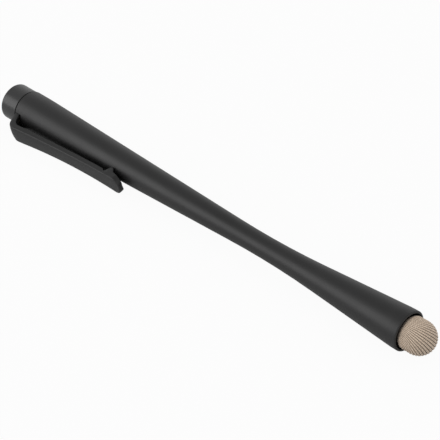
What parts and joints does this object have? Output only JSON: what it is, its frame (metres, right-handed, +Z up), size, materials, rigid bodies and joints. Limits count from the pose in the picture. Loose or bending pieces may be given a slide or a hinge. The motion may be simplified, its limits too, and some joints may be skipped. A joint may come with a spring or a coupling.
{
  "type": "stylus pen",
  "caption": "Slim waisted metal stylus pen with a screw-on tail cap, a sprung pocket clip and a soft domed knitted tip for touching a screen.",
  "frame": {"origin": "centre of the tail cap's flat end face, on the pen's axis", "axes": "+X along the pen from tail to tip, +Z up with the pen lying on a table; the clip points to -Y and slightly down"},
  "size_m": [0.1283, 0.0125, 0.009],
  "materials": {
    "barrel_black": "matte black anodised",
    "cap_black": "satin black anodised",
    "clip_black": "matte black lacquer",
    "washer_black": "matte black",
    "brass": "turned",
    "core_rubber": "soft conductive rubber",
    "knit": "fine beige knitted conductive yarn"
  },
  "bodies": {
    "barrel": {"barrel": "barrel_black", "tail_insert": "brass", "clip_foot": "clip_black", "tip_holder": "brass"},
    "clip_arm": {"clip_arm": "clip_black"},
    "cap_carrier": {"seam_washer": "washer_black"},
    "cap": {"tail_cap": "cap_black", "tail_stud": "brass"},
    "tip": {"tip_mesh": "knit", "tip_core": "core_rubber", "crimp_ring": "brass"}
  },
  "joints": [
    {"name": "clip_flex", "type": "hinge", "parent": "barrel", "child": "clip_arm", "pos_m": [0.01066, -0.00649, -0.00199], "axis": [0, 0.293, -0.9561], "range_deg": [0, 5], "stiffness_Nm_per_rad": 2},
    {"name": "cap_travel", "type": "slide", "parent": "barrel", "child": "cap_carrier", "axis": [-1, 0, 0], "range_m": [0, 0.0056]},
    {"name": "cap_turn", "type": "hinge", "parent": "cap_carrier", "child": "cap", "pos_m": [0, 0, 0], "axis": [-1, 0, 0], "range_deg": [0, 2525]},
    {"name": "tip_press", "type": "slide", "parent": "barrel", "child": "tip", "axis": [-1, 0, 0], "range_m": [0, 0.001], "stiffness_N_per_m": 1500}
  ],
  "couplings": [
    {"joint": "cap_turn", "follows": "cap_travel", "rad_per_m": 7854}
  ]
}
